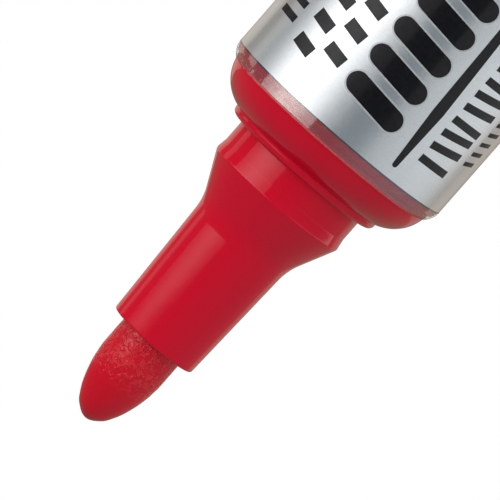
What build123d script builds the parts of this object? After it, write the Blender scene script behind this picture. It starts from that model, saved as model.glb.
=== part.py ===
"""Pump-action whiteboard marker with a bullet nib, standing nib up on its cap, which is posted on the tail.

Millimetres, +Z along the marker's axis towards the nib, origin at the centre of the cap's foot.
Nearly every piece is turned about Z, so outlines are (radius, height) points in the XZ plane.
The front pieces are placed down from the mouth of the nib tube, the rear ones up from the cap's rim.
"""

import os
from math import sqrt

from build123d import *

os.makedirs("parts", exist_ok=True)

# ---- Driving dimensions ----
CAPPED_LENGTH = 143.0  # cap on the nib, pump button out
BARREL_D = 18.14  # over the label film
NIB_D = 5.0
NIB_REACH = 7.17  # nib showing beyond its tube
CAP_LENGTH = 31.0
CAP_D = 16.9
BUTTON_D = 8.1
BUTTON_TRAVEL = 4.0
VALVE_TRAVEL = 0.8
FIT = 0.02  # radial gap between pressed or guided pieces
GAP = 0.05  # gap between faces that only rest on each other

# ---- Front section, as depths below the mouth of the nib tube ----
NIB_R = NIB_D / 2
TUBE_MOUTH_R = 3.45
TUBE_ROOT_R, TUBE_ROOT_DEPTH = 3.86, 9.75  # where the tube and the cone would meet
CONE_FILLET = 6.0
RIDGE_R, RIDGE_DEPTH = 5.45, 13.05  # ridge that the cap seals on
COLLAR_R = 5.32
COLLAR_TOP_DEPTH, BEAD_TOP_DEPTH = 13.9, 15.63
BEAD_R, BEAD_HEIGHT, BEAD_FILLET = 6.30, 0.47, 0.40
SHOULDER_DEPTH = BEAD_TOP_DEPTH + BEAD_HEIGHT  # plane where the domed shoulder starts
DOME_CENTRE_R, DOME_ARC = 5.6, 2.9
DOME_R = DOME_CENTRE_R + DOME_ARC
DOME_WALL = 0.13  # straight wall between the dome and the lip under the film

# ---- Barrel and its label film ----
FILM_T = 0.08
BARREL_IN_R = 7.75
FILM_R = BARREL_D / 2
FILM_FIT = 0.005
BARREL_R = FILM_R - FILM_T - FILM_FIT
BARREL_INSET = 0.5  # from where the film leaves the straight cylinder back to the barrel's end
LIP_ARC = 1.25  # the film's outside where it shrinks in over the shoulders' lips
LIP_CENTRE_R = FILM_R - LIP_ARC
FILM_LIP = 0.93  # from the straight cylinder to the film's edge
SHOULDER_LIP = 0.61  # from the straight cylinder to the ledge where the lip ends
LIP_GAP = LIP_ARC - FILM_T - FILM_FIT  # the lip's own arc, just inside the film's
LIP_END_R = LIP_CENTRE_R + sqrt(LIP_GAP**2 - SHOULDER_LIP**2)
SKIRT_R = BARREL_IN_R - FIT
SKIRT_LENGTH = 9.8
RING_DEPTH = 4.5  # seal rings' distance from the barrel's ends
RING_WIRE = 0.44  # their section radius
RING_R = BARREL_IN_R - 0.01 - RING_WIRE
RING_GROOVE_R, RING_GROOVE_W = RING_R - RING_WIRE, 1.1

# ---- Heights ----
Z_RIM = CAP_LENGTH
RIM_OVERLAP = 0.15  # the cap's rim reaches this far past the plane where a domed shoulder starts
Z_TAIL = Z_RIM - RIM_OVERLAP
SPIGOT_LENGTH = 6.6
BUTTON_REACH = 6.0
Z_SPIGOT_END = Z_TAIL - SPIGOT_LENGTH
Z_BUTTON_END = Z_SPIGOT_END - BUTTON_REACH
Z_SHOULDER = Z_BUTTON_END + CAPPED_LENGTH - CAP_LENGTH + RIM_OVERLAP
Z_MOUTH = Z_SHOULDER + SHOULDER_DEPTH
Z_TIP = Z_MOUTH + NIB_REACH
LIP_DEPTH = DOME_ARC + DOME_WALL + SHOULDER_LIP
Z_LIP_FRONT = Z_SHOULDER - LIP_DEPTH  # the film leaves the straight cylinder here
Z_LIP_REAR = Z_TAIL + LIP_DEPTH
Z_BARREL_FRONT = Z_LIP_FRONT - BARREL_INSET
Z_BARREL_REAR = Z_LIP_REAR + BARREL_INSET


def turned(outline, radii=None):
    """Revolves a closed outline of (radius, height) points about Z, with a fillet radius for each point."""
    with BuildSketch(Plane.XZ) as section:
        with BuildLine():
            if radii is None:
                Polyline(*outline, close=True)
            else:
                FilletPolyline(*outline, radius=radii, close=True)
        make_face()
    revolve(section.sketch, axis=Axis.Z)


def cylinder_cut(radius, low, high):
    """Cuts a round hole about Z between two heights."""
    with BuildSketch(Plane.XY.offset(low)) as hole:
        Circle(radius)
    extrude(hole.sketch, amount=high - low, mode=Mode.SUBTRACT)


def shoulder(plane, way):
    """A domed shoulder and the lip that the film shrinks over. way is 1 at the front, -1 at the tail."""
    foot = plane - way * DOME_ARC
    ledge = foot - way * DOME_WALL
    lip = ledge - way * SHOULDER_LIP
    end = lip - way * BARREL_INSET
    with BuildSketch(Plane.XZ) as section:
        with BuildLine():
            CenterArc((DOME_CENTRE_R, foot), DOME_ARC, 0, 90 * way)
            Polyline((DOME_R, foot), (DOME_R, ledge), (LIP_END_R, ledge))
            RadiusArc((LIP_END_R, ledge), (BARREL_R, lip), way * LIP_GAP)
            Polyline((BARREL_R, lip), (BARREL_R, end), (DOME_CENTRE_R, end), (DOME_CENTRE_R, plane))
        make_face()
    revolve(section.sketch, axis=Axis.Z)


def ring_groove(height):
    """Cuts a seal ring's groove round a skirt."""
    half = RING_GROOVE_W / 2
    outline = [
        (RING_GROOVE_R, height - half),
        (SKIRT_R + 1, height - half),
        (SKIRT_R + 1, height + half),
        (RING_GROOVE_R, height + half),
    ]
    with BuildSketch(Plane.XZ) as section:
        with BuildLine():
            Polyline(*outline, close=True)
        make_face()
    revolve(section.sketch, axis=Axis.Z, mode=Mode.SUBTRACT)


def seal_ring(height):
    """A round-section ring about Z."""
    with BuildSketch(Plane.XZ) as section:
        with Locations((RING_R, height)):
            Circle(RING_WIRE)
    revolve(section.sketch, axis=Axis.Z)


def coil(mean_radius, wire, turns, low, high):
    """A compression spring about Z: round wire along a helix that ends half a wire short of both seats."""
    run = high - low - wire
    with BuildLine() as path:
        Helix(pitch=run / turns, height=run, radius=mean_radius, center=(0, 0, low + wire / 2))
    with BuildSketch(Plane(path.line @ 0, z_dir=path.line % 0)) as section:
        Circle(wire / 2)
    sweep(section.sketch, path=path.line, is_frenet=True)


# ================= Front end =================
CHAMBER_DEPTH = 12.0  # where the nib's bore opens into the chamber that the nib's root sits in
NIB_ROOT_DEPTH = 12.4
ABSORBER_DEPTH = 13.4
VALVE_SEAT_DEPTH = 18.0  # step that the valve's retainer is pushed against
Z_RIDGE = Z_MOUTH - RIDGE_DEPTH
Z_CHAMBER = Z_MOUTH - CHAMBER_DEPTH
Z_NIB_ROOT = Z_MOUTH - NIB_ROOT_DEPTH
Z_ABSORBER_TOP = Z_MOUTH - ABSORBER_DEPTH
Z_VALVE_SEAT = Z_MOUTH - VALVE_SEAT_DEPTH
Z_FRONT_SKIRT = Z_BARREL_FRONT - SKIRT_LENGTH
Z_FRONT_RING = Z_BARREL_FRONT - RING_DEPTH
NIB_BORE_R = NIB_R + FIT
CHAMBER_R, ABSORBER_R, VALVE_BORE_R = 3.2, 4.3, 6.0

with BuildPart() as front_section:
    turned(
        [
            (NIB_BORE_R, Z_MOUTH),
            (TUBE_MOUTH_R, Z_MOUTH),
            (TUBE_ROOT_R, Z_MOUTH - TUBE_ROOT_DEPTH),
            (RIDGE_R, Z_RIDGE),
            (COLLAR_R, Z_MOUTH - COLLAR_TOP_DEPTH),
            (COLLAR_R, Z_MOUTH - BEAD_TOP_DEPTH),
            (BEAD_R, Z_MOUTH - BEAD_TOP_DEPTH),
            (BEAD_R, Z_BARREL_FRONT),
            (SKIRT_R, Z_BARREL_FRONT),
            (SKIRT_R, Z_FRONT_SKIRT),
            (VALVE_BORE_R, Z_FRONT_SKIRT),
            (VALVE_BORE_R, Z_VALVE_SEAT),
            (ABSORBER_R, Z_VALVE_SEAT),
            (ABSORBER_R, Z_ABSORBER_TOP),
            (CHAMBER_R, Z_CHAMBER - 0.6),
            (CHAMBER_R, Z_CHAMBER),
            (NIB_BORE_R, Z_CHAMBER),
        ],
        [0.08, 0.15, CONE_FILLET, 0.6, 0.3, 0.12, BEAD_FILLET] + [0] * 2 + [0.3] + [0] * 7,
    )
    shoulder(Z_SHOULDER, 1)
    cylinder_cut(VALVE_BORE_R, Z_FRONT_SKIRT, Z_VALVE_SEAT)
    ring_groove(Z_FRONT_RING)
front_section.part.label = "front_section"

with BuildPart() as front_seal_ring:
    seal_ring(Z_FRONT_RING)
front_seal_ring.part.label = "front_seal_ring"

WICK_R = 1.25
WICK_SOCKET = 2.0  # how far the wick goes into the nib
BULLET_LENGTH = 5.2  # rounded part of the nib

with BuildPart() as nib:
    with BuildSketch(Plane.XZ):
        with BuildLine():
            shank = Polyline(
                (0, Z_NIB_ROOT),
                (NIB_R - 0.4, Z_NIB_ROOT),
                (NIB_R, Z_NIB_ROOT + 0.6),
                (NIB_R, Z_TIP - BULLET_LENGTH),
            )
            # the bullet narrows from the shank to a blunt, nearly round nose
            Spline(
                shank @ 1,
                (NIB_R * 0.944, Z_TIP - 3.71),
                (NIB_R * 0.802, Z_TIP - 2.34),
                (NIB_R * 0.615, Z_TIP - 1.26),
                (NIB_R * 0.395, Z_TIP - 0.5),
                (0, Z_TIP),
                tangents=[(0, 1), (-1, 0)],
            )
            Line((0, Z_TIP), (0, Z_NIB_ROOT))
        make_face()
    revolve(axis=Axis.Z)
    cylinder_cut(WICK_R, Z_NIB_ROOT, Z_NIB_ROOT + WICK_SOCKET)
nib.part.label = "nib"

RETAINER_T = 1.2
RETAINER_COLLAR_R, RETAINER_COLLAR = 2.0, 1.5  # sleeve that holds the wick upright
Z_RETAINER = Z_VALVE_SEAT - RETAINER_T
Z_WICK_LOW = Z_RETAINER - 0.35
FEED_HOLES, FEED_HOLE_R, FEED_CIRCLE_R = 6, 0.5, 3.1

with BuildPart() as relay_wick:
    with BuildSketch(Plane.XY.offset(Z_WICK_LOW)):
        Circle(WICK_R - FIT)
    extrude(amount=Z_NIB_ROOT + WICK_SOCKET - FIT - Z_WICK_LOW)
    chamfer(relay_wick.faces().sort_by(Axis.Z)[-1].edges(), 0.2)
relay_wick.part.label = "relay_wick"

with BuildPart() as ink_absorber:
    absorber_low, absorber_high = Z_VALVE_SEAT + RETAINER_COLLAR + 2 * GAP, Z_ABSORBER_TOP - 2 * GAP
    with BuildSketch(Plane.XY.offset(absorber_low)):
        Circle(ABSORBER_R - GAP)
        Circle(WICK_R + GAP, mode=Mode.SUBTRACT)
    extrude(amount=absorber_high - absorber_low)
    fillet(ink_absorber.edges().filter_by(GeomType.CIRCLE).group_by(SortBy.RADIUS)[-1], 0.25)
ink_absorber.part.label = "ink_absorber"

with BuildPart() as valve_retainer:
    turned(
        [
            (WICK_R, Z_RETAINER),
            (VALVE_BORE_R - FIT, Z_RETAINER),
            (VALVE_BORE_R - FIT, Z_VALVE_SEAT - FIT),
            (RETAINER_COLLAR_R, Z_VALVE_SEAT - FIT),
            (RETAINER_COLLAR_R, Z_VALVE_SEAT + RETAINER_COLLAR),
            (WICK_R, Z_VALVE_SEAT + RETAINER_COLLAR),
        ]
    )
    with BuildSketch(Plane.XY.offset(Z_RETAINER)):
        with PolarLocations(FEED_CIRCLE_R, FEED_HOLES):
            Circle(FEED_HOLE_R)
    extrude(amount=RETAINER_T, mode=Mode.SUBTRACT)
valve_retainer.part.label = "valve_retainer"

HOUSING_R = VALVE_BORE_R - FIT
HOUSING_IN_R, SEAT_HOLE_R = 4.6, 1.5
HOUSING_FLOOR = 1.4
Z_HOUSING_TOP = Z_RETAINER - FIT
Z_HOUSING_LOW = Z_FRONT_SKIRT + 0.6
Z_HOUSING_FLOOR = Z_HOUSING_LOW + HOUSING_FLOOR

with BuildPart() as valve_housing:
    turned(
        [
            (SEAT_HOLE_R, Z_HOUSING_LOW),
            (HOUSING_R, Z_HOUSING_LOW),
            (HOUSING_R, Z_HOUSING_TOP),
            (HOUSING_IN_R, Z_HOUSING_TOP),
            (HOUSING_IN_R, Z_HOUSING_FLOOR),
            (SEAT_HOLE_R, Z_HOUSING_FLOOR),
        ],
        [0.2, 0.5, 0.2, 0.2, 0.3, 0],
    )
valve_housing.part.label = "valve_housing"

SEAL_R, SEAL_T = 3.6, 0.8
Z_SEAL_TOP = Z_HOUSING_FLOOR + GAP + SEAL_T

with BuildPart() as valve_seal:
    with BuildSketch(Plane.XY.offset(Z_HOUSING_FLOOR + GAP)):
        Circle(SEAL_R)
        Circle(SEAT_HOLE_R, mode=Mode.SUBTRACT)
    extrude(amount=SEAL_T)
    fillet(valve_seal.edges().filter_by(GeomType.CIRCLE).group_by(SortBy.RADIUS)[-1], 0.2)
valve_seal.part.label = "valve_seal"

POPPET_HEAD_R, POPPET_HEAD_T = 3.1, 0.9
POPPET_NOSE = 1.0  # taper below the seal's top
STEM_R, STEM_LENGTH = 0.9, 3.4
Z_POPPET_HEAD = Z_SEAL_TOP + FIT + POPPET_HEAD_T

with BuildPart() as valve_poppet:
    turned(
        [
            (0, Z_SEAL_TOP - POPPET_NOSE),
            (0.6, Z_SEAL_TOP - POPPET_NOSE),
            (1.3, Z_SEAL_TOP + FIT),
            (POPPET_HEAD_R, Z_SEAL_TOP + FIT),
            (POPPET_HEAD_R, Z_POPPET_HEAD),
            (STEM_R, Z_POPPET_HEAD),
            (STEM_R, Z_POPPET_HEAD + STEM_LENGTH),
            (0, Z_POPPET_HEAD + STEM_LENGTH),
        ],
        [0, 0.2, 0, 0.2, 0.2, 0, 0.3, 0],
    )
valve_poppet.part.label = "valve_poppet"

with BuildPart() as valve_spring:
    coil(mean_radius=1.8, wire=0.35, turns=5, low=Z_POPPET_HEAD + FIT, high=Z_RETAINER - FIT)
valve_spring.part.label = "valve_spring"

# ================= Barrel =================
FILM_END_IN_R = LIP_CENTRE_R + sqrt((LIP_ARC - FILM_T) ** 2 - FILM_LIP**2)
FILM_END_R = LIP_CENTRE_R + sqrt(LIP_ARC**2 - FILM_LIP**2)

with BuildPart() as barrel:
    with BuildSketch(Plane.XY.offset(Z_BARREL_REAR)):
        Circle(BARREL_R)
        Circle(BARREL_IN_R, mode=Mode.SUBTRACT)
    extrude(amount=Z_BARREL_FRONT - Z_BARREL_REAR)
barrel.part.label = "barrel"

with BuildPart() as label_sleeve:
    inner_r = FILM_R - FILM_T
    front_end, rear_end = Z_LIP_FRONT + FILM_LIP, Z_LIP_REAR - FILM_LIP
    with BuildSketch(Plane.XZ):
        with BuildLine():
            RadiusArc((FILM_END_R, front_end), (FILM_R, Z_LIP_FRONT), LIP_ARC)
            Line((FILM_R, Z_LIP_FRONT), (FILM_R, Z_LIP_REAR))
            RadiusArc((FILM_R, Z_LIP_REAR), (FILM_END_R, rear_end), LIP_ARC)
            Line((FILM_END_R, rear_end), (FILM_END_IN_R, rear_end))
            RadiusArc((FILM_END_IN_R, rear_end), (inner_r, Z_LIP_REAR), -(LIP_ARC - FILM_T))
            Line((inner_r, Z_LIP_REAR), (inner_r, Z_LIP_FRONT))
            RadiusArc((inner_r, Z_LIP_FRONT), (FILM_END_IN_R, front_end), -(LIP_ARC - FILM_T))
            Line((FILM_END_IN_R, front_end), (FILM_END_R, front_end))
        make_face()
    revolve(axis=Axis.Z)
label_sleeve.part.label = "label_sleeve"

# ================= Tail and pump =================
STOP_DEPTH, PUMP_SEAT_DEPTH = 0.8, 2.0
Z_STOP = Z_TAIL + STOP_DEPTH  # shoulder that keeps the button in
Z_PUMP_SEAT = Z_TAIL + PUMP_SEAT_DEPTH
Z_TAIL_SKIRT = Z_BARREL_REAR + SKIRT_LENGTH
Z_TAIL_RING = Z_BARREL_REAR + RING_DEPTH
BUTTON_R = BUTTON_D / 2
BUTTON_BORE_R = BUTTON_R + 0.1
FLANGE_R, FLANGE_ROOM_R, PUMP_BORE_R, PUMP_R = 4.9, 5.3, 5.18, 6.2

with BuildPart() as rear_plug:
    turned(
        [
            (BUTTON_BORE_R, Z_SPIGOT_END),
            (COLLAR_R, Z_SPIGOT_END),
            (COLLAR_R, Z_TAIL - BEAD_HEIGHT),
            (BEAD_R, Z_TAIL - BEAD_HEIGHT),
            (BEAD_R, Z_BARREL_REAR),
            (SKIRT_R, Z_BARREL_REAR),
            (SKIRT_R, Z_TAIL_SKIRT),
            (PUMP_R, Z_TAIL_SKIRT),
            (PUMP_R, Z_PUMP_SEAT),
            (FLANGE_ROOM_R, Z_PUMP_SEAT),
            (FLANGE_ROOM_R, Z_STOP),
            (BUTTON_BORE_R, Z_STOP),
        ],
        [0.15, 0.4, 0.12, BEAD_FILLET] + [0] * 2 + [0.3] + [0] * 5,
    )
    shoulder(Z_TAIL, -1)
    cylinder_cut(PUMP_R, Z_PUMP_SEAT, Z_TAIL_SKIRT)
    ring_groove(Z_TAIL_RING)
rear_plug.part.label = "rear_plug"

with BuildPart() as tail_seal_ring:
    seal_ring(Z_TAIL_RING)
tail_seal_ring.part.label = "tail_seal_ring"

FLANGE_T = 1.0
BUTTON_WALL, BUTTON_END_T = 0.95, 1.3
BUTTON_DISH = 0.35  # hollow in the face that the thumb or the board presses
BUTTON_IN_R = BUTTON_R - BUTTON_WALL
Z_FLANGE = Z_STOP + FIT
Z_FLANGE_TOP = Z_FLANGE + FLANGE_T

with BuildPart() as pump_button:
    turned(
        [
            (0, Z_BUTTON_END + BUTTON_DISH),
            (2.4, Z_BUTTON_END + 0.25),
            (BUTTON_R, Z_BUTTON_END),
            (BUTTON_R, Z_FLANGE),
            (FLANGE_R, Z_FLANGE),
            (FLANGE_R, Z_FLANGE_TOP),
            (BUTTON_IN_R, Z_FLANGE_TOP),
            (BUTTON_IN_R, Z_BUTTON_END + BUTTON_DISH + BUTTON_END_T),
            (0, Z_BUTTON_END + BUTTON_DISH + BUTTON_END_T),
        ],
        [0, 1.5, 0.6, 0, 0.15, 0.15, 0.1, 0.4, 0],
    )
pump_button.part.label = "pump_button"

CUP_R = PUMP_BORE_R - FIT
CUP_HEIGHT = 2.55
PLUG_DEPTH = 3.0  # the piston's stem, pushed into the button
PISTON_STEM_R = 2.5
CUP_CLEARANCE = 0.6  # left above the cup when the button is fully in
SPRING_LENGTH = 8.5
Z_CUP = Z_FLANGE_TOP + FIT
Z_CUP_TOP = Z_CUP + CUP_HEIGHT
Z_PUMP_TOP = Z_CUP_TOP + BUTTON_TRAVEL + CUP_CLEARANCE  # underside of the pump cylinder's end
Z_SPRING_SEAT = Z_PUMP_TOP - SPRING_LENGTH

with BuildPart() as pump_piston:
    turned(
        [
            (0, Z_FLANGE_TOP - PLUG_DEPTH),
            (BUTTON_IN_R - FIT, Z_FLANGE_TOP - PLUG_DEPTH),
            (BUTTON_IN_R - FIT, Z_CUP),
            (CUP_R - 0.4, Z_CUP),
            (CUP_R - 0.4, Z_CUP + 1.0),
            (CUP_R, Z_CUP_TOP),
            (CUP_R - 0.5, Z_CUP_TOP),
            (3.9, Z_CUP + 1.2),
            (3.5, Z_CUP_TOP),
            (PISTON_STEM_R, Z_CUP_TOP),
            (PISTON_STEM_R, Z_SPRING_SEAT),
            (0, Z_SPRING_SEAT),
        ],
        [0, 0.3, 0, 0.2, 0.2, 0.15, 0.1, 0.2, 0.2, 0.1, 0.2, 0],
    )
pump_piston.part.label = "pump_piston"

with BuildPart() as pump_spring:
    coil(mean_radius=2.05, wire=0.45, turns=5.5, low=Z_SPRING_SEAT + FIT, high=Z_PUMP_TOP - FIT)
pump_spring.part.label = "pump_spring"

PUMP_END_T = 1.2
Z_PUMP_END = Z_PUMP_TOP + PUMP_END_T
VALVE_STEM_R, AIR_HOLES, AIR_HOLE_R, AIR_CIRCLE_R = 0.75, 4, 0.3, 1.45

with BuildPart() as pump_cylinder:
    turned(
        [
            (VALVE_STEM_R + FIT, Z_PUMP_TOP),
            (PUMP_BORE_R, Z_PUMP_TOP),
            (PUMP_BORE_R, Z_PUMP_SEAT + FIT),
            (PUMP_R - FIT, Z_PUMP_SEAT + FIT),
            (PUMP_R - FIT, Z_PUMP_END),
            (VALVE_STEM_R + FIT, Z_PUMP_END),
        ],
        [0, 0.3, 0.2, 0.2, 0.5, 0],
    )
    with BuildSketch(Plane.XY.offset(Z_PUMP_TOP)):
        with PolarLocations(AIR_CIRCLE_R, AIR_HOLES):
            Circle(AIR_HOLE_R)
    extrude(amount=PUMP_END_T, mode=Mode.SUBTRACT)
pump_cylinder.part.label = "pump_cylinder"

with BuildPart() as check_valve:
    # an umbrella over the air holes, held by a barbed stem
    turned(
        [
            (0, Z_PUMP_TOP - 0.9),
            (0.7, Z_PUMP_TOP - 0.9),
            (1.05, Z_PUMP_TOP - FIT),
            (VALVE_STEM_R, Z_PUMP_TOP - FIT),
            (VALVE_STEM_R, Z_PUMP_END + FIT),
            (2.6, Z_PUMP_END + FIT),
            (2.45, Z_PUMP_END + 0.4),
            (0, Z_PUMP_END + 0.9),
        ],
        [0, 0.3, 0.1, 0, 0, 0.1, 0.1, 0],
    )
check_valve.part.label = "check_valve"

INK_DEPTH = 38.0

with BuildPart() as ink_charge:
    with BuildSketch(Plane.XY.offset(Z_TAIL_SKIRT + GAP)):
        Circle(BARREL_IN_R - FIT)
    extrude(amount=INK_DEPTH)
ink_charge.part.label = "ink_charge"

# ================= Cap, posted on the tail =================
CAP_R = CAP_D / 2
CAP_MOUTH_R, CAP_FLOOR_R, CAP_FLOOR = 7.1, 6.9, 1.6
FOOT_R, FOOT_FILLET = 8.3, 0.5
FOOT_RECESS_R, FOOT_RECESS = 5.0, 0.4
VENTS, VENT_R, VENT_CIRCLE_R = 4, 0.75, 3.2
FLUTES, FLUTE_R, FLUTE_DEPTH, FLUTE_FADE = 24, 0.8, 0.22, 2.0
Z_FLUTE_LOW, Z_FLUTE_HIGH = 4.5, 24.5

with BuildPart() as flute_cutter:
    # one shallow grip flute, following the shell's taper and fading out at both ends
    lean = (CAP_R - FOOT_R) / Z_RIM
    for z, depth in [
        (Z_FLUTE_LOW - FLUTE_FADE, 0),
        (Z_FLUTE_LOW, FLUTE_DEPTH),
        (Z_FLUTE_HIGH, FLUTE_DEPTH),
        (Z_FLUTE_HIGH + FLUTE_FADE, 0),
    ]:
        with BuildSketch(Plane.XY.offset(z)):
            with Locations((FOOT_R + lean * z + FLUTE_R - depth, 0)):
                Circle(FLUTE_R)
    loft(ruled=True)

with BuildPart() as cap_shell:
    turned(
        [
            (0, FOOT_RECESS),
            (FOOT_RECESS_R - 0.3, FOOT_RECESS),
            (FOOT_RECESS_R, 0),
            (FOOT_R, 0),
            (CAP_R, Z_RIM),
            (CAP_MOUTH_R, Z_RIM),
            (CAP_MOUTH_R, Z_RIM - 3.5),
            (CAP_FLOOR_R, CAP_FLOOR),
            (0, CAP_FLOOR),
        ],
        [0, 0.2, 0.15, FOOT_FILLET, 0.45, 0.2, 0, 0.6, 0],
    )
    with BuildSketch(Plane.XY):
        with PolarLocations(VENT_CIRCLE_R, VENTS):
            Circle(VENT_R)
    extrude(amount=CAP_FLOOR, mode=Mode.SUBTRACT)
    with PolarLocations(0, FLUTES):
        add(flute_cutter.part, mode=Mode.SUBTRACT)
cap_shell.part.label = "cap_shell"

LINER_WALL, LINER_FLANGE_T = 0.7, 1.0
LINER_MOUTH_R, LINER_TUBE_R, LINER_TIP_R = COLLAR_R + GAP, 4.5, 3.1
NOTCH_W = 1.2  # notches in the flange let air past the liner to the vents
Z_LINER_TOP = Z_RIM - 1.15
Z_LINER_FLANGE = Z_LINER_TOP - LINER_FLANGE_T
Z_LINER_STEP = Z_SPIGOT_END - 0.85
Z_LINER_NECK = Z_RIM - 18.1
Z_LINER_FLOOR = Z_RIM - 25.0

with BuildPart() as cap_liner:
    turned(
        [
            (0, Z_LINER_FLOOR - LINER_WALL),
            (LINER_TIP_R + LINER_WALL, Z_LINER_FLOOR - LINER_WALL),
            (LINER_TIP_R + LINER_WALL, Z_LINER_NECK - 1.4),
            (LINER_TUBE_R + LINER_WALL, Z_LINER_NECK),
            (LINER_TUBE_R + LINER_WALL, Z_LINER_STEP - 1.0),
            (LINER_MOUTH_R + LINER_WALL, Z_LINER_STEP),
            (LINER_MOUTH_R + LINER_WALL, Z_LINER_FLANGE),
            (CAP_MOUTH_R - FIT, Z_LINER_FLANGE),
            (CAP_MOUTH_R - FIT, Z_LINER_TOP),
            (LINER_MOUTH_R, Z_LINER_TOP),
            (LINER_MOUTH_R, Z_LINER_STEP),
            (LINER_TUBE_R, Z_LINER_STEP - 1.0),
            (LINER_TUBE_R, Z_LINER_NECK),
            (LINER_TIP_R, Z_LINER_NECK - 1.4),
            (LINER_TIP_R, Z_LINER_FLOOR),
            (0, Z_LINER_FLOOR),
        ],
        [0, 1.0, 0.4, 0.4, 0.4, 0.4, 0.2, 0, 0.15, 0.3, 0.3, 0.3, 0.3, 0.3, 0.6, 0],
    )
    with BuildSketch(Plane.XY.offset(Z_LINER_FLANGE)):
        with PolarLocations(CAP_MOUTH_R, VENTS, start_angle=45):
            Rectangle(NOTCH_W, NOTCH_W)
    extrude(amount=LINER_FLANGE_T, mode=Mode.SUBTRACT)
cap_liner.part.label = "cap_liner"

# ================= Export =================
PIECES = [
    nib,
    front_section,
    front_seal_ring,
    relay_wick,
    ink_absorber,
    valve_retainer,
    valve_housing,
    valve_seal,
    valve_poppet,
    valve_spring,
    barrel,
    label_sleeve,
    ink_charge,
    rear_plug,
    tail_seal_ring,
    pump_button,
    pump_piston,
    pump_spring,
    pump_cylinder,
    check_valve,
    cap_shell,
    cap_liner,
]
for piece in PIECES:
    export_step(piece.part, f"parts/{piece.part.label}.step")
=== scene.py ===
from math import acos, atan, cos, degrees, hypot, pi, radians, sin, sqrt, tan

import bpy
from mathutils import Matrix, Vector, noise
from mathutils.geometry import tessellate_polygon


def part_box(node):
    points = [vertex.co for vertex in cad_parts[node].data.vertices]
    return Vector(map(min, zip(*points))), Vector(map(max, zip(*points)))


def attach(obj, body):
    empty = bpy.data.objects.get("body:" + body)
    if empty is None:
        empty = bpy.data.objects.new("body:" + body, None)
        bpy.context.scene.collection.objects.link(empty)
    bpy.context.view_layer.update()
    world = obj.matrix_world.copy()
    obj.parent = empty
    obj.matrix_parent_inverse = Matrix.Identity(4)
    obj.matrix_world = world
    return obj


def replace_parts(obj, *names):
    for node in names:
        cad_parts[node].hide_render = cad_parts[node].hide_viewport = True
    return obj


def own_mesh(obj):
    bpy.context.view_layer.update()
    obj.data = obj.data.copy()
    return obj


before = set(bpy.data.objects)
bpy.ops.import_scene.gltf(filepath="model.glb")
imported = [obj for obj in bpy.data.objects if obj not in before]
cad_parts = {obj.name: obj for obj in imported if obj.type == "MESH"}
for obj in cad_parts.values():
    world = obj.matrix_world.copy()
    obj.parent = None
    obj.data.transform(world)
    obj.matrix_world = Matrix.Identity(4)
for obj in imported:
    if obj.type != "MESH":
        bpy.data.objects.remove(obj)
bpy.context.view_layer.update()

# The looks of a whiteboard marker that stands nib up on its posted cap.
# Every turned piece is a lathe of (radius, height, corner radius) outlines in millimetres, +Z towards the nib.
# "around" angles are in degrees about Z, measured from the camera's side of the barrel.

MM = 0.001
noise.seed_set(1)  # without it noise_vector is offset by the clock, and the nib differs from run to run


def low(node):
    """Height of a node's lowest point, in millimetres."""
    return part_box(node)[0].z / MM


def high(node):
    """Height of a node's highest point, in millimetres."""
    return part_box(node)[1].z / MM


def radius(node):
    """A turned node's outer radius, in millimetres."""
    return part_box(node)[1].x / MM


# ---- Where things are ----
MOUTH = high("front_section")  # mouth of the nib tube
TIP = high("nib")
SKIRT = low("front_section")
BARREL_FRONT, BARREL_REAR = high("barrel"), low("barrel")
FILM_FRONT, FILM_REAR = high("label_sleeve"), low("label_sleeve")
SPIGOT_END = low("rear_plug")
FILM_R = radius("label_sleeve")
BARREL_R = radius("barrel")
NIB_R = radius("nib")
TUBE_ROOT, RIDGE, COLLAR_TOP, BEAD_TOP = MOUTH - 9.75, MOUTH - 13.05, MOUTH - 13.9, MOUTH - 15.63
SHOULDER = MOUTH - 16.10  # plane where the front dome starts
TAIL = SPIGOT_END + 6.6  # plane where the tail dome starts
RIM = high("cap_shell")
DOME_CENTRE_R, DOME_ARC, DOME_DROP = 5.46, 3.11, 3.09  # arc's centre, its size, and how far behind the plane
DOME_LEAN = 13.0  # degrees; the dome runs out in a wall that leans this much
TUBE_MOUTH_R, TUBE_ROOT_R, RIDGE_R = 3.45, 3.84, 5.45
COLLAR_R, BEAD_R, BEAD_HEIGHT, BEAD_FILLET = 5.32, 6.30, 0.47, 0.40
LIP_ARC = 1.25  # the red lip's curl, as measured to the film's outside
LIP_CENTRE_R = FILM_R - LIP_ARC
MARGIN_END = 0.18  # the thin film reaches this much past its solid's end
MARGIN_TAPER = 0.025  # how much it leans in for each millimetre
MARGIN_STRAIGHT, MARGIN_CURL = 0.15, 0.50  # where its curl starts, and the curl's strength
LIP_FRONT, LIP_REAR = FILM_FRONT - 0.93, FILM_REAR + 0.93  # the film leaves the straight cylinder here
SHOULDER_LIP = 0.61  # from there to the ledge where the red lip under the film ends
SKIRT_R = 7.73
RING_FROM_END, RING_HALF, RING_R = 4.5, 0.55, 6.86  # the seal rings' grooves, from the barrel's ends
SEGMENTS = 192


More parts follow.
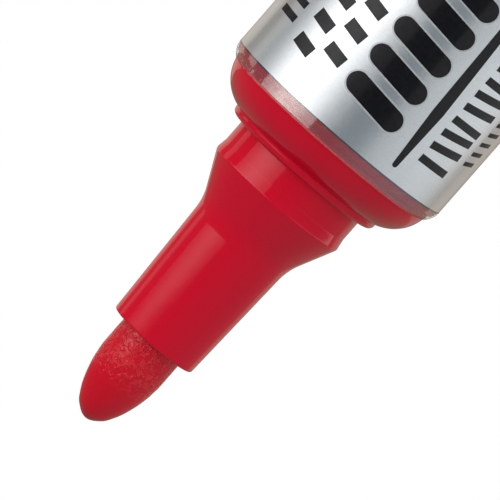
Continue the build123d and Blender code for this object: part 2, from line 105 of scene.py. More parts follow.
# ================= Mesh making =================
def rounded(corners, closed=True, step=9.0, hold=0.06):
    """Points of an outline whose corners (r, z, corner radius) are rounded by arcs.

    Each straight stretch gets a point close to either end, so that its shading stays flat.
    """
    count = len(corners)
    points = []
    for i, corner in enumerate(corners):
        here = Vector(corner[:2])
        bend = corner[2] if len(corner) > 2 else 0
        ends = not closed and i in (0, count - 1)
        before = Vector(corners[i - 1][:2])
        after = Vector(corners[(i + 1) % count][:2])
        if ends:
            points.append(here)
            continue
        back, on = (before - here).normalized(), (after - here).normalized()
        turn = pi - back.angle(on, 0)
        if not bend or turn < 0.01:
            edge = min(hold, (before - here).length / 3, (after - here).length / 3)
            points += [here + back * edge, here, here + on * edge]
            continue
        reach = bend * tan(turn / 2)
        centre = here + (back + on).normalized() * hypot(bend, reach)
        start, finish = here + back * reach, here + on * reach
        points.append(start + back * min(hold, max((before - start).length - reach, 0.01) / 3))
        pieces = max(2, int(degrees(turn) / step) + 1)
        a, b = start - centre, finish - centre
        whole = a.angle(b)
        for k in range(pieces + 1):
            share = k / pieces
            points.append(centre + (a * sin(whole * (1 - share)) + b * sin(whole * share)) / sin(whole))
        points.append(finish + on * min(hold, max((after - finish).length - reach, 0.01) / 3))
    return [(p.x, p.y) for p in points]


def arc(centre_r, centre_z, size, start, end, pieces=14):
    """Points of an arc, from and to angles in degrees, 0 pointing away from the axis and 90 up."""
    angles = [radians(start + (end - start) * k / pieces) for k in range(pieces + 1)]
    return [(centre_r + size * cos(a), centre_z + size * sin(a)) for a in angles]


def finish_mesh(name, verts, faces, material, body, sharp=40):
    """Makes a smooth-shaded object in the row frame from points in millimetres, and lets it ride."""
    mesh = bpy.data.meshes.new(name)
    mesh.from_pydata([Vector(v) * MM for v in verts], [], faces)
    mesh.validate()
    mesh.shade_smooth()
    mesh.set_sharp_from_angle(angle=radians(sharp))
    piece = bpy.data.objects.new(name, mesh)
    bpy.context.scene.collection.objects.link(piece)
    piece.data.materials.append(material)
    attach(piece, body)
    return piece


def lathe(name, points, material, body, segments=SEGMENTS, shape=None, sharp=40):
    """Turns an outline about Z. It is closed, or open with both ends on the axis.

    shape(r, z, angle) may give each point another radius and height.
    """
    solid = points[0][0] < 1e-6 and points[-1][0] < 1e-6
    verts, rings = [], []
    for r, z in points:
        if r < 1e-6:
            rings.append([len(verts)] * segments)
            verts.append((0, 0, z))
            continue
        rings.append(range(len(verts), len(verts) + segments))
        for k in range(segments):
            angle = 2 * pi * k / segments
            rr, zz = shape(r, z, angle) if shape else (r, z)
            verts.append((rr * cos(angle), rr * sin(angle), zz))
    pairs = list(zip(rings, rings[1:]))
    if not solid:
        pairs.append((rings[-1], rings[0]))
    faces = []
    for one, two in pairs:
        for k in range(segments):
            m = (k + 1) % segments
            face = [one[k], one[m], two[m], two[k]]
            faces.append(list(dict.fromkeys(face)))
    return finish_mesh(name, verts, faces, material, body, sharp)


# ================= Materials =================
def new_material(name, **sockets):
    """A Principled material with these socket values."""
    material = bpy.data.materials.new(name)
    material.use_nodes = True
    shader = material.node_tree.nodes["Principled BSDF"]
    for socket, value in sockets.items():
        shader.inputs[socket.replace("_", " ")].default_value = value
    return material


def add_node(material, kind, links=None, **values):
    """Adds a node, sets its input values or links them, and returns it."""
    node = material.node_tree.nodes.new(kind)
    for key, value in values.items():
        setattr(node, key, value)
    for socket, source in (links or {}).items():
        if hasattr(source, "links"):
            material.node_tree.links.new(source, node.inputs[socket])
        else:
            node.inputs[socket].default_value = source
    return node


def speckle(material, size, stretch=(1, 1, 1), detail=3, roughness=0.55, distortion=0.0):
    """Noise with features of about this size in millimetres, stretched along X, Y, Z."""
    place = add_node(material, "ShaderNodeTexCoord").outputs["Object"]
    scale = tuple(1 / (size * MM * s) for s in stretch)
    mapped = add_node(material, "ShaderNodeMapping", {"Vector": place, "Scale": scale}).outputs["Vector"]
    links = {"Vector": mapped, "Scale": 1.0, "Detail": detail, "Roughness": roughness, "Distortion": distortion}
    return add_node(material, "ShaderNodeTexNoise", links).outputs["Fac"]


NOISE_SPAN = (0.3, 0.7)  # nearly all of a speckle's values lie between these


def height(material):
    """Height in the row frame, in metres."""
    place = add_node(material, "ShaderNodeTexCoord").outputs["Object"]
    return add_node(material, "ShaderNodeSeparateXYZ", {"Vector": place}).outputs["Z"]


def rescale(material, value, from_low, from_high, to_low=0.0, to_high=1.0):
    """A value carried over from one span of numbers to another, and held within it."""
    links = {"Value": value, "From Min": from_low, "From Max": from_high, "To Min": to_low, "To Max": to_high}
    return add_node(material, "ShaderNodeMapRange", links).outputs["Result"]


def combine(material, operation, one, two):
    """Two values added, multiplied or otherwise combined."""
    return add_node(material, "ShaderNodeMath", {0: one, 1: two}, operation=operation).outputs["Value"]


def drive(material, value, socket):
    """Lets a value set one of the material's sockets."""
    shader = material.node_tree.nodes["Principled BSDF"]
    material.node_tree.links.new(value, shader.inputs[socket])


def paint(material, value, dark, light, low_end=0.35, high_end=0.65):
    """Colours the material between two colours by a value."""
    ramp = add_node(material, "ShaderNodeValToRGB", {"Fac": value})
    ramp.color_ramp.elements[0].position = low_end
    ramp.color_ramp.elements[1].position = high_end
    ramp.color_ramp.elements[0].color = (*dark, 1)
    ramp.color_ramp.elements[1].color = (*light, 1)
    drive(material, ramp.outputs["Color"], "Base Color")


def vary(material, value, least, most, socket="Roughness"):
    """Lets a socket follow a noise between two numbers."""
    drive(material, rescale(material, value, *NOISE_SPAN, least, most), socket)


def emboss(material, value, depth):
    """Bumps the surface by a value, depth in millimetres. Bumps add up in the order they are made."""
    shader = material.node_tree.nodes["Principled BSDF"]
    links = {"Height": value, "Distance": depth * MM, "Strength": 1.0}
    if shader.inputs["Normal"].links:
        links["Normal"] = shader.inputs["Normal"].links[0].from_socket
    drive(material, add_node(material, "ShaderNodeBump", links).outputs["Normal"], "Normal")


def red_plastic():
    """Moulded polypropylene with faint flow clouds: glossy, but a little duller along the slender nib tube."""
    material = new_material("red_plastic", Specular_IOR_Level=0.45, IOR=1.49)
    paint(material, speckle(material, 5.0, (1, 1, 2.5)), (0.790, 0.0006, 0.0235), (0.815, 0.0010, 0.0265))
    flare, tube = (MOUTH - 11.5) * MM, (MOUTH - 9.0) * MM
    dulled = rescale(material, height(material), flare, tube, 0.055, 0.095)
    grain = rescale(material, speckle(material, 1.2, detail=5), *NOISE_SPAN, 0.0, 0.04)
    drive(material, combine(material, "ADD", dulled, grain), "Roughness")
    emboss(material, speckle(material, 0.35, detail=4), 0.0010)
    emboss(material, speckle(material, 3.5), 0.004)
    return material


def nib_fibre():
    """Bonded fibre soaked in ink: a smooth worn nose, and worm-like fibres further back that catch the light, their
    crests also painted paler as a painted sheen.
    """
    material = new_material("nib_fibre", Specular_IOR_Level=0.46)
    rough_end, smooth_end = (TIP - 4.6) * MM, (TIP - 3.0) * MM
    rough_part = rescale(material, height(material), rough_end, smooth_end, 1.0, 0.0)
    worms = speckle(material, 0.33, (1, 1, 1.4), detail=1.5, distortion=0.7)
    shown = combine(material, "MULTIPLY", rescale(material, worms, 0.47, 0.58), rough_part)
    # the fibres' paler, pinker crests are painted sheen, added to the real bump and gloss
    paint(material, shown, (0.80, 0.0008, 0.019), (0.88, 0.018, 0.031), 0.0, 1.0)
    drive(material, rescale(material, rough_part, 0, 1, 0.10, 0.22), "Roughness")
    emboss(material, shown, 0.055)
    emboss(material, speckle(material, 0.12, (1, 1, 2), detail=2), 0.0015)
    return material


def silver_print():
    """Metallic ink behind the glossy film: fine flakes and a slightly uneven lay."""
    material = new_material(
        "silver_print", Metallic=0.90, Coat_Weight=0.6, Coat_Roughness=0.08, Specular_IOR_Level=0.5
    )
    flakes = speckle(material, 0.16, detail=5, roughness=0.7)
    paint(material, flakes, (0.83, 0.84, 0.85), (0.91, 0.915, 0.92))
    vary(material, speckle(material, 2.0, (1, 1, 3)), 0.31, 0.35)
    emboss(material, flakes, 0.0014)
    emboss(material, speckle(material, 2.2, (1, 1, 4)), 0.003)
    return material


def film_margin():
    """Unprinted shrink film over the red shoulders: mostly clear, and bright where it mirrors a light."""
    material = new_material("film_margin", Metallic=1.0)
    streaks = speckle(material, 0.5, (1, 1, 0.3))
    paint(material, streaks, (0.76, 0.75, 0.72), (0.84, 0.83, 0.80))
    vary(material, streaks, 0.22, 0.27, "Alpha")
    vary(material, speckle(material, 0.8), 0.07, 0.11)
    emboss(material, speckle(material, 0.45, (1, 1, 0.4), detail=3), 0.0012)
    return material


def cut_edge():
    """The film's cut edges: half clear, and painted a pale pink as a painted highlight where the edge catches the
    light.
    """
    material = new_material("film_cut_edge_highlight", Alpha=0.40, Coat_Weight=0.3, Coat_Roughness=0.2)
    # pale pink: painted highlight along the film's cut edge
    paint(material, speckle(material, 0.3), (0.66, 0.16, 0.15), (0.80, 0.24, 0.22))
    vary(material, speckle(material, 0.2), 0.25, 0.45)
    return material


def black_print():
    """Black ink under the film's gloss, laid a little unevenly."""
    material = new_material("black_print", Coat_Weight=0.25, Coat_Roughness=0.10, Specular_IOR_Level=0.25)
    paint(material, speckle(material, 0.35, detail=4), (0.0024, 0.0018, 0.0030), (0.0070, 0.0055, 0.0080))
    vary(material, speckle(material, 0.6), 0.30, 0.42)
    emboss(material, speckle(material, 2.2, (1, 1, 4)), 0.004)
    return material


def pale_print():
    """The light keyline round the large marks."""
    material = new_material("pale_print", Coat_Weight=0.5, Coat_Roughness=0.08, Metallic=0.3)
    paint(material, speckle(material, 0.3, detail=4), (0.60, 0.62, 0.64), (0.72, 0.73, 0.75))
    vary(material, speckle(material, 0.6), 0.30, 0.42)
    return material


def moulded(name, dark, light, rough, grain=0.4, depth=0.002, **sockets):
    """A plain moulded or turned material: cloudy colour, uneven gloss and a fine skin."""
    material = new_material(name, **sockets)
    paint(material, speckle(material, grain * 6, detail=4), dark, light)
    vary(material, speckle(material, grain * 2, detail=5), rough * 0.8, rough * 1.25)
    emboss(material, speckle(material, grain, detail=4), depth)
    return material


def drawn_wire():
    """Drawn spring wire: bright steel with fine marks along it."""
    material = new_material("drawn_wire", Metallic=1.0)
    marks = speckle(material, 0.12, (4, 4, 0.6), detail=4)
    paint(material, marks, (0.46, 0.46, 0.48), (0.64, 0.64, 0.66))
    vary(material, marks, 0.20, 0.36)
    emboss(material, marks, 0.002)
    return material


def felt(name, dark, light):
    """Open fibre pad."""
    material = new_material(name, Roughness=0.9, Sheen_Weight=0.3)
    strands = speckle(material, 0.25, (1, 1, 4), detail=4, distortion=1.0)
    paint(material, strands, dark, light)
    vary(material, strands, 0.75, 0.95)
    emboss(material, strands, 0.05)
    return material


RED = red_plastic()
FIBRE = nib_fibre()
SILVER = silver_print()
MARGIN = film_margin()
CUT_EDGE_HIGHLIGHT = cut_edge()
BLACK = black_print()
PALE = pale_print()
PLUM = moulded("plum_line", (0.045, 0.006, 0.014), (0.065, 0.010, 0.022), 0.3, 0.2, 0.001)
NATURAL = moulded("natural_plastic", (0.74, 0.74, 0.69), (0.82, 0.82, 0.78), 0.32, Subsurface_Weight=0.15)
GREY = moulded("barrel_plastic", (0.50, 0.50, 0.51), (0.56, 0.56, 0.57), 0.25)
RUBBER = moulded("black_rubber", (0.012, 0.012, 0.013), (0.024, 0.024, 0.026), 0.6, 0.2, 0.006)
INK = moulded("red_ink", (0.16, 0.001, 0.004), (0.22, 0.002, 0.008), 0.05, 1.0, 0.001)
WIRE = drawn_wire()
PAD = felt("absorber_fibre", (0.30, 0.004, 0.012), (0.46, 0.012, 0.03))


# ================= Front end =================
def lip_radius(past, depth):
    """Radius of the layer this deep under the film's outside, this far past the straight cylinder."""
    return LIP_CENTRE_R + sqrt((LIP_ARC - depth) ** 2 - past**2)


def shoulder_outline(plane, way):
    """Outline from the bead over the dome and the ledge to the barrel's end. way is 1 in front, -1 behind."""
    centre = plane - way * DOME_DROP
    lip = LIP_FRONT if way > 0 else LIP_REAR
    ledge = lip + way * SHOULDER_LIP
    start = degrees(acos((BEAD_R + 0.03 - DOME_CENTRE_R) / DOME_ARC))
    dome = arc(DOME_CENTRE_R, centre, DOME_ARC, way * start, way * DOME_LEAN, 26)
    r, z = dome[-1]
    drop = abs(z - ledge)
    wall = [(r + tan(radians(DOME_LEAN)) * drop * k, z + (ledge - z) * k) for k in (0.05, 0.5, 0.97, 1.0)]
    depth = FILM_R - BARREL_R
    steps = [SHOULDER_LIP * (1 - k / 6) for k in range(7)]
    curl = [(lip_radius(past, depth), lip + way * past) for past in steps]
    return dome + wall + curl


def front_moulding():
    """The red moulding: nib tube, flare, ridge, collar, bead, domed shoulder and the skirt in the barrel."""
    valve_r, pad_r, chamber_r, nib_r = 6.0, 4.3, 3.2, NIB_R + 0.02
    pad_foot, pad_top, chamber_top, nib_foot = MOUTH - 18.0, MOUTH - 13.4, MOUTH - 12.6, MOUTH - 12.0
    ring_low, ring_high = BARREL_FRONT - RING_FROM_END - RING_HALF, BARREL_FRONT - RING_FROM_END + RING_HALF
    outside = rounded(
        [
            (nib_r, nib_foot),
            (nib_r, MOUTH, 0.08),
            (TUBE_MOUTH_R, MOUTH, 0.15),
            (TUBE_ROOT_R, TUBE_ROOT, 4.2),
            (RIDGE_R, RIDGE, 0.35),
            (COLLAR_R, COLLAR_TOP, 0.06),
            (COLLAR_R, BEAD_TOP, 0.12),
            (BEAD_R, BEAD_TOP, BEAD_FILLET),
            (BEAD_R, SHOULDER - 0.04),
        ],
        closed=False,
        step=5.0,
    )
    hidden = rounded(
        [
            (BARREL_R, LIP_FRONT),
            (BARREL_R, BARREL_FRONT),
            (SKIRT_R, BARREL_FRONT),
            (SKIRT_R, ring_high),
            (RING_R, ring_high),
            (RING_R, ring_low),
            (SKIRT_R, ring_low),
            (SKIRT_R, SKIRT, 0.3),
            (valve_r, SKIRT, 0.1),
            (valve_r, pad_foot),
            (pad_r, pad_foot),
            (pad_r, pad_top),
            (chamber_r, chamber_top),
            (chamber_r, nib_foot),
            (nib_r, nib_foot),
        ],
        closed=False,
    )
    points = outside + shoulder_outline(SHOULDER, 1) + hidden[1:-1]
    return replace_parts(lathe("nose_moulding", points, RED, "marker", 256), "front_section")


def bullet_outline():
    """Outline of the nib: a shank and a bullet that narrows to a nearly round nose."""
    root = low("nib")
    # share of the nib's radius, and depth behind its tip
    keys = [(1.0, 5.2), (0.944, 3.71), (0.802, 2.34), (0.615, 1.26), (0.395, 0.5), (0.0, 0.0)]
    curve = bpy.data.curves.new("bullet", "CURVE")
    curve.dimensions = "3D"
    spline = curve.splines.new("BEZIER")
    spline.bezier_points.add(len(keys) - 1)
    for point, (share, depth) in zip(spline.bezier_points, keys):
        point.co = (share * NIB_R, 0, TIP - depth)
        point.handle_left_type = point.handle_right_type = "AUTO"
    spline.resolution_u = 22
    first, last = spline.bezier_points[0], spline.bezier_points[-1]
    first.handle_left_type = first.handle_right_type = "FREE"
    last.handle_left_type = last.handle_right_type = "FREE"
    first.handle_right = first.co + Vector((0, 0, 0.5))
    last.handle_left = last.co + Vector((0.36, 0, 0))
    holder = bpy.data.objects.new("bullet", curve)
    line = bpy.data.meshes.new_from_object(holder)
    nose = [(max(v.co.x, 0), v.co.z) for v in line.vertices]
    bpy.data.objects.remove(holder)
    bpy.data.meshes.remove(line)
    bpy.data.curves.remove(curve)
    nose[-1] = (0.0, TIP)
    shown = MOUTH - 0.6
    shank = [(NIB_R, shown + (nose[0][1] - shown) * k / 40) for k in range(40)]
    socket = rounded(
        [(0, root + 2.0), (1.25, root + 2.0), (1.25, root), (NIB_R - 0.4, root), (NIB_R, root + 0.6), (NIB_R, shown)],
        closed=False,
    )
    return socket[:-1] + shank + nose


def fibrous(r, z, angle):
    """Sinks the nib between wormy fibres, where it shows, and least at its worn nose."""
    if z < MOUTH - 0.5 or r < 0.05:
        return r, z
    fibre_size, deep, fine_deep = 0.45, 0.014, 0.003
    wear = min(max((TIP - z - 2.2) / 2.6, 0.12), 1.0)
    place = Vector((r * cos(angle), r * sin(angle), z * 0.72)) / fibre_size
    worms = 1 - 2.2 * abs(noise.noise(place + 0.6 * noise.noise_vector(place * 0.7)))
    sink = deep * wear * (1 - max(worms, 0)) + fine_deep * wear * abs(noise.noise(place * 2.7))
    share = (r - sink) / r
    return r * share, z


def front_pieces():
    """The moulding and the nib that shows in it."""
    front_moulding()
    nib = lathe("nib_fibre", bullet_outline(), FIBRE, "marker", 288, fibrous, 80)
    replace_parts(nib, "nib")


# ================= Barrel and label =================
PRINT_EDGE, PRINT_TAIL = LIP_FRONT, LIP_REAR  # the silver print ends where the film curls in


def label_band(name, material, outer, inner, heights, segments=256, shape=None, sharp=60):
    """A turned layer of the sleeve through these heights, outer and inner being depths under the film's outside."""
    def line(depth, heights):
        return [(FILM_R - depth - MARGIN_TAPER * max(z - LIP_FRONT, LIP_REAR - z, 0), z) for z in heights]

    points = line(outer, heights) + line(inner, heights[::-1])
    return lathe(name, points, material, "marker", segments, shape, sharp)


def curled(r, z, angle):
    """The film's tail edge curls in all round."""
    return r - MARGIN_CURL * max(LIP_REAR - z - MARGIN_STRAIGHT, 0) ** 2, z


LOOSE_HALF, LOOSE_FADE = 42, 30  # degrees either side of the camera's side where the front edge stays straight
WAVES_AT, WAVES_HALF = -56, 17  # degrees round where it has shrink waves


def crinkled(r, z, angle):
    """The film's front edge: it curls in but for one stretch, and has small shrink waves over another."""
    edge = max(z - LIP_FRONT, 0) / (FILM_FRONT - LIP_FRONT)
    around = (450 - degrees(angle)) % 360 - 180
    tight = min(max((abs(around) - LOOSE_HALF) / LOOSE_FADE, 0), 1)
    tight = tight * tight * (3 - 2 * tight)
    r -= tight * MARGIN_CURL * max(z - LIP_FRONT - MARGIN_STRAIGHT, 0) ** 2
    wrinkled = max(0, 1 - abs((around - WAVES_AT) / WAVES_HALF))
    even = noise.noise(Vector((cos(angle) * 9, sin(angle) * 9, 3.1)))
    fold = noise.noise(Vector((around * 0.55, z * 3.2, 0.4)))
    lift = edge * (0.040 * wrinkled * max(fold, -0.2) - 0.008 * abs(even))
    return r + lift, z + edge**2 * (0.015 * even + 0.10 * wrinkled * fold)


def sleeve():
    """Silver print between the margins, a dark line at each of its ends, and the clear margins that curl in."""
    clear_deep, line_wide, cut_wide = 0.012, 0.11, 0.14
    heights = [PRINT_TAIL + (PRINT_EDGE - PRINT_TAIL) * k / 30 for k in range(31)]
    pieces = [label_band("label_print", SILVER, clear_deep, 0.07, heights)]
    ends = (("front", PRINT_EDGE, FILM_FRONT + MARGIN_END, 1), ("tail", PRINT_TAIL, FILM_REAR - MARGIN_END, -1))
    for name, edge, end, way in ends:
        line = [edge, edge + way * line_wide]
        pieces.append(label_band(f"print_line_{name}", PLUM, 0.014, 0.06, line[::way]))
        cut = end - way * cut_wide
        shape = crinkled if way > 0 else curled
        clear = [edge + (cut - edge) * k / 22 for k in range(23)]
        pieces.append(label_band(f"film_margin_{name}", MARGIN, 0.0, clear_deep, clear[::way], 720, shape))
        # a half-clear ring at the film's cut edge, painted pale pink as the edge's painted highlight
        rim = [cut + way * 0.002, cut + way * 0.05, end]
        pieces.append(label_band(f"film_edge_{name}", CUT_EDGE_HIGHLIGHT, 0.0, 0.06, rim[::way], 720, shape))
    for piece in pieces:
        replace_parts(piece, "label_sleeve")


def on_label(around, along, proud):
    """A point on the label: degrees round from the camera's side, millimetres back from the print's front edge."""
    r = FILM_R - proud
    return (-r * sin(radians(around)), -r * cos(radians(around)), PRINT_EDGE - along)


def bar(start, end, width, end_width=None, square=False, proud=0.004):
    """Mesh of one printed bar from start to end, each (degrees round, millimetres along)."""
    arc_mm = radians(1) * FILM_R
    a = Vector((start[0] * arc_mm, start[1]))
    b = Vector((end[0] * arc_mm, end[1]))
    length = max((b - a).length, 1e-6)
    on = (b - a) / length
    side = Vector((-on.y, on.x))
    half_a, half_b = width / 2, (end_width or width) / 2
    # how far along each cross-section lies, and its half width
    stations = [(length * k / 16, half_a + (half_b - half_a) * k / 16) for k in range(17)]
    if not square:
        turns = [pi / 2 * k / 8 for k in range(9)]
        start_cap = [(-half_a * cos(turn), half_a * sin(turn)) for turn in turns]
        end_cap = [(length + half_b * sin(turn), half_b * cos(turn)) for turn in turns]
        stations = start_cap + stations[1:-1] + end_cap
    verts, faces = [], []
    across, thick = 6, 0.012
    for shift, half in stations:
        half = max(half, 1e-4)
        for k in range(across + 1):
            p = a + on * shift + side * half * (2 * k / across - 1)
            verts.append(on_label(p.x / arc_mm, p.y, proud))
            verts.append(on_label(p.x / arc_mm, p.y, proud + thick))
    row = 2 * (across + 1)
    for i in range(len(stations) - 1):
        for k in range(across):
            v = i * row + 2 * k
            faces.append((v, v + row, v + row + 2, v + 2))
            faces.append((v + 1, v + 3, v + row + 3, v + row + 1))
        v, w = i * row, i * row + 2 * across
        faces.append((v, v + 1, v + row + 1, v + row))
        faces.append((w, w + row, w + row + 1, w + 1))
    last = (len(stations) - 1) * row
    for k in range(across):
        v = 2 * k
        faces.append((v, v + 2, v + 3, v + 1))
        faces.append((last + v, last + v + 1, last + v + 3, last + v + 2))
    return verts, faces


def printed(name, bars, material):
    """One piece of all these bars."""
    verts, faces = [], []
    for more_verts, more_faces in bars:
        base = len(verts)
        verts += more_verts
        faces += [tuple(base + i for i in face) for face in more_faces]
    return finish_mesh(name, verts, faces, material, "marker", 60)


def column(count, step, start, end, width, lean=0.0):
    """Square-ended bars, one every step along the label. All but every third one lean by this much more."""
    bars = []
    for k in range(count):
        more = lean if k % 3 else 0.0
        bars.append(bar((start[0], start[1] + step * k), (end[0], end[1] + step * k + more), width, square=True))
    return bars


def label_marks():
    """Plain bars, dashes and a tapered rule where a label carries its print.

    Each end of a bar is (degrees round, millimetres back from the print's front edge).
    """
    strokes = [((15.4, 3.15 + 2.45 * k), (-6.4, 3.60 + 2.45 * k), 1.62) for k in range(21)]
    keyline = [bar(a, b, width + 0.24, proud=0.0085) for a, b, width in strokes]
    printed("label_keyline", keyline, PALE)
    printed("label_bold_bars", [bar(a, b, width) for a, b, width in strokes], BLACK)

    rule_tip, rule_waist, rule_neck, rule_end = (30.0, 1.02), (29.2, 5.6), (26.6, 15.0), (26.6, 62.0)
    rule = [
        bar(rule_tip, rule_waist, 0.44, 0.94),
        bar(rule_waist, rule_neck, 0.94, 0.62, proud=0.0045),
        bar(rule_neck, rule_end, 0.62, proud=0.005),
    ]
    printed("label_rule", rule, BLACK)

    upper = column(22, 2.1, (-43.0, 3.2), (-31.5, 2.9), 0.95) + column(22, 2.1, (-27.5, 4.15), (-16.8, 3.85), 0.95)
    printed("label_upper_bars", upper, BLACK)

    dashes = column(36, 1.15, (37.2, 2.5), (57.0, 2.5), 0.58, lean=0.35)
    dashes += column(34, 1.2, (-66.0, 3.9), (-51.0, 3.8), 0.55)
    dashes += column(44, 0.86, (62.5, 3.9), (72.0, 4.1), 0.34)
    printed("label_dashes", dashes, BLACK)

    lines = []
    for k in range(9):
        around, shorter = 158.0 + 5.0 * k, 0.7 * (k % 2)
        lines += column(5 - k % 3, 6.4, (around, 30.0), (around, 35.2 - shorter), 0.30)
    printed("label_small_print", lines, BLACK)


# ================= Tail and cap =================
def tail_moulding():
    """The red tail plug: spigot, bead, domed shoulder, and the skirt in the barrel."""
    pump_r, room_r, bore_r = 6.2, 5.3, 4.15
    stop, seat, top = TAIL + 0.8, TAIL + 2.0, high("rear_plug")
    bead_end = TAIL - BEAD_HEIGHT
    ring_low, ring_high = BARREL_REAR + RING_FROM_END - RING_HALF, BARREL_REAR + RING_FROM_END + RING_HALF
    spigot = rounded(
        [
            (bore_r, stop),
            (bore_r, SPIGOT_END, 0.15),
            (COLLAR_R, SPIGOT_END, 0.4),
            (COLLAR_R, bead_end, 0.12),
            (BEAD_R, bead_end, BEAD_FILLET),
            (BEAD_R, TAIL + 0.04),
        ],
        closed=False,
    )
    hidden = rounded(
        [
            (BARREL_R, LIP_REAR),
            (BARREL_R, BARREL_REAR),
            (SKIRT_R, BARREL_REAR),
            (SKIRT_R, ring_low),
            (RING_R, ring_low),
            (RING_R, ring_high),
            (SKIRT_R, ring_high),
            (SKIRT_R, top, 0.3),
            (pump_r, top, 0.1),
            (pump_r, seat),
            (room_r, seat),
            (room_r, stop),
            (bore_r, stop),
        ],
        closed=False,
    )
    points = spigot + shoulder_outline(TAIL, -1) + hidden[1:-1]
    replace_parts(lathe("tail_moulding", points, RED, "marker"), "rear_plug")


def button():
    """The red push button, with a dished end."""
    end, top = low("pump_button"), high("pump_button")
    points = rounded(
        [
            (0, end + 0.35),
            (2.4, end + 0.25, 1.5),
            (4.05, end, 0.6),
            (4.05, top - 1.0),
            (4.9, top - 1.0, 0.15),
            (4.9, top, 0.15),
            (3.1, top, 0.1),
            (3.1, end + 1.65, 0.4),
            (0, end + 1.65),
        ],
        closed=False,
    )
    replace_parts(lathe("push_button", points, RED, "pump"), "pump_button")


CAP_R, FOOT_R = radius("cap_shell"), 8.3
FLUTES, FLUTE_R, FLUTE_DEPTH = 24, 0.8, 0.22
FLUTE_LOW, FLUTE_HIGH, FLUTE_FADE = 4.5, 24.5, 2.0


def fluted(r, z, angle):
    """Sinks the grip flutes into the cap's outer wall."""
    depth = FLUTE_DEPTH * min(1, (z - FLUTE_LOW) / FLUTE_FADE + 1, (FLUTE_HIGH - z) / FLUTE_FADE + 1)
    if r < FOOT_R - 0.1 or depth <= 0:
        return r, z
    pitch = 2 * pi / FLUTES
    off = (angle + pitch / 2) % pitch - pitch / 2
    centre = r + FLUTE_R - depth
    reach = FLUTE_R**2 - (centre * sin(off)) ** 2
    if reach <= 0:
        return r, z
    return min(r, centre * cos(off) - sqrt(reach)), z


def foot_plate(r, bottom, top, vent_r=0.75, vent_circle=3.2, vents=4):
    """The middle of the cap's floor, with its vents."""
    rim_points, vent_points = 384, 48
    rim = [2 * pi * k / rim_points for k in range(rim_points)]
    turn = [-2 * pi * k / vent_points for k in range(vent_points)]
    loops = [[(r * cos(a), r * sin(a)) for a in rim]]
    for v in range(vents):
        x, y = vent_circle * cos(2 * pi * v / vents), vent_circle * sin(2 * pi * v / vents)
        loops.append([(x + vent_r * cos(a), y + vent_r * sin(a)) for a in turn])
    flat = [p for loop in loops for p in loop]
    count = len(flat)
    verts = [(x, y, bottom) for x, y in flat] + [(x, y, top) for x, y in flat]
    faces = []
    for a, b, c in tessellate_polygon([[Vector((x, y, 0)) for x, y in loop] for loop in loops]):
        ax, bx, cx = Vector(flat[a]), Vector(flat[b]), Vector(flat[c])
        if (bx - ax).cross(cx - ax) < 0:
            b, c = c, b
        faces += [(a, c, b), (a + count, b + count, c + count)]
    first = 0
    for loop in loops:
        for k in range(len(loop)):
            a, b = first + k, first + (k + 1) % len(loop)
            faces.append((a, b, b + count, a + count))
        first += len(loop)
    return finish_mesh("cap_foot_plate", verts, faces, RED, "cap", 30)


def cap():
    """The cap: a shell with shallow grip flutes, open at its rim, and a floor with four vents."""
    recess_r, recess, floor_z, mouth_r, inner_r = 5.0, 0.4, 1.6, 7.1, 6.9
    plate_r = recess_r - 0.3
    wall = []
    for a, b, pieces in (
        (FLUTE_LOW - FLUTE_FADE, FLUTE_LOW, 4),
        (FLUTE_LOW, FLUTE_HIGH, 12),
        (FLUTE_HIGH, FLUTE_HIGH + FLUTE_FADE, 4),
    ):
        wall += [a + (b - a) * k / pieces for k in range(pieces)]
    wall.append(FLUTE_HIGH + FLUTE_FADE)
    wall = [(FOOT_R + (CAP_R - FOOT_R) * z / RIM, z) for z in wall]
    foot = rounded([(plate_r, recess), (recess_r, 0, 0.15), (FOOT_R, 0, 0.5), wall[0]], closed=False)
    rim = rounded(
        [
            wall[-1],
            (CAP_R, RIM, 0.45),
            (mouth_r, RIM, 0.2),
            (mouth_r, RIM - 3.5),
            (inner_r, floor_z, 0.6),
            (plate_r, floor_z),
        ],
        closed=False,
    )
    shell = lathe("cap_body", foot[:-1] + wall + rim[1:], RED, "cap", 384, fluted, 25)
    for piece in (shell, foot_plate(plate_r, recess, floor_z)):
        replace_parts(piece, "cap_shell")


def coil(name, node, mean, wire, turns):
    """A compression spring with closed, flattened end turns."""
    bottom, top = low(node), high(node)
    run = top - bottom - wire
    steps, sides = int(turns * 40), 14
    line = []
    for k in range(steps + 1):
        share = k / steps
        turn = share * turns
        # one closed turn at each end, and an even pitch between
        closed = 1.0
        middle = (turn - closed) / (turns - 2 * closed)
        rise = min(max(middle, 0), 1)
        rise = rise * (run - 2 * closed * wire) + wire * min(turn, closed) + wire * max(turn - turns + closed, 0)
        angle = 2 * pi * turn
        line.append(Vector((mean * cos(angle), mean * sin(angle), bottom + wire / 2 + rise)))
    verts, faces = [], []
    for k, p in enumerate(line):
        ahead = (line[min(k + 1, steps)] - line[max(k - 1, 0)]).normalized()
        out = Vector((p.x, p.y, 0)).normalized()
        up = ahead.cross(out).normalized()
        for j in range(sides):
            a = 2 * pi * j / sides
            q = p + (out * cos(a) + up * sin(a)) * wire / 2
            q.z = min(max(q.z, bottom), top)  # ends ground flat
            verts.append(q)
    for k in range(steps):
        for j in range(sides):
            m = (j + 1) % sides
            faces.append((k * sides + j, k * sides + m, (k + 1) * sides + m, (k + 1) * sides + j))
    faces.append(tuple(range(sides))[::-1])
    faces.append(tuple(steps * sides + j for j in range(sides)))
    piece = finish_mesh(name, verts, faces, WIRE, "marker", 60)
    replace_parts(piece, node)
    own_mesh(piece)


def springs():
    """The pump's spring and the valve's."""
    gap, turns = 0.04, 6.5  # a spring stands this much short of its seats
    # piece, node, joint, the joint's stroke, mean radius and wire
    for name, node, joint, stroke, mean, wire in (
        ("pump_coil", "pump_spring", "pump_press", 4.0, 2.05, 0.45),
        ("valve_coil", "valve_spring", "valve_open", 0.8, 1.8, 0.35),
    ):
        coil(name, node, mean, wire, turns)


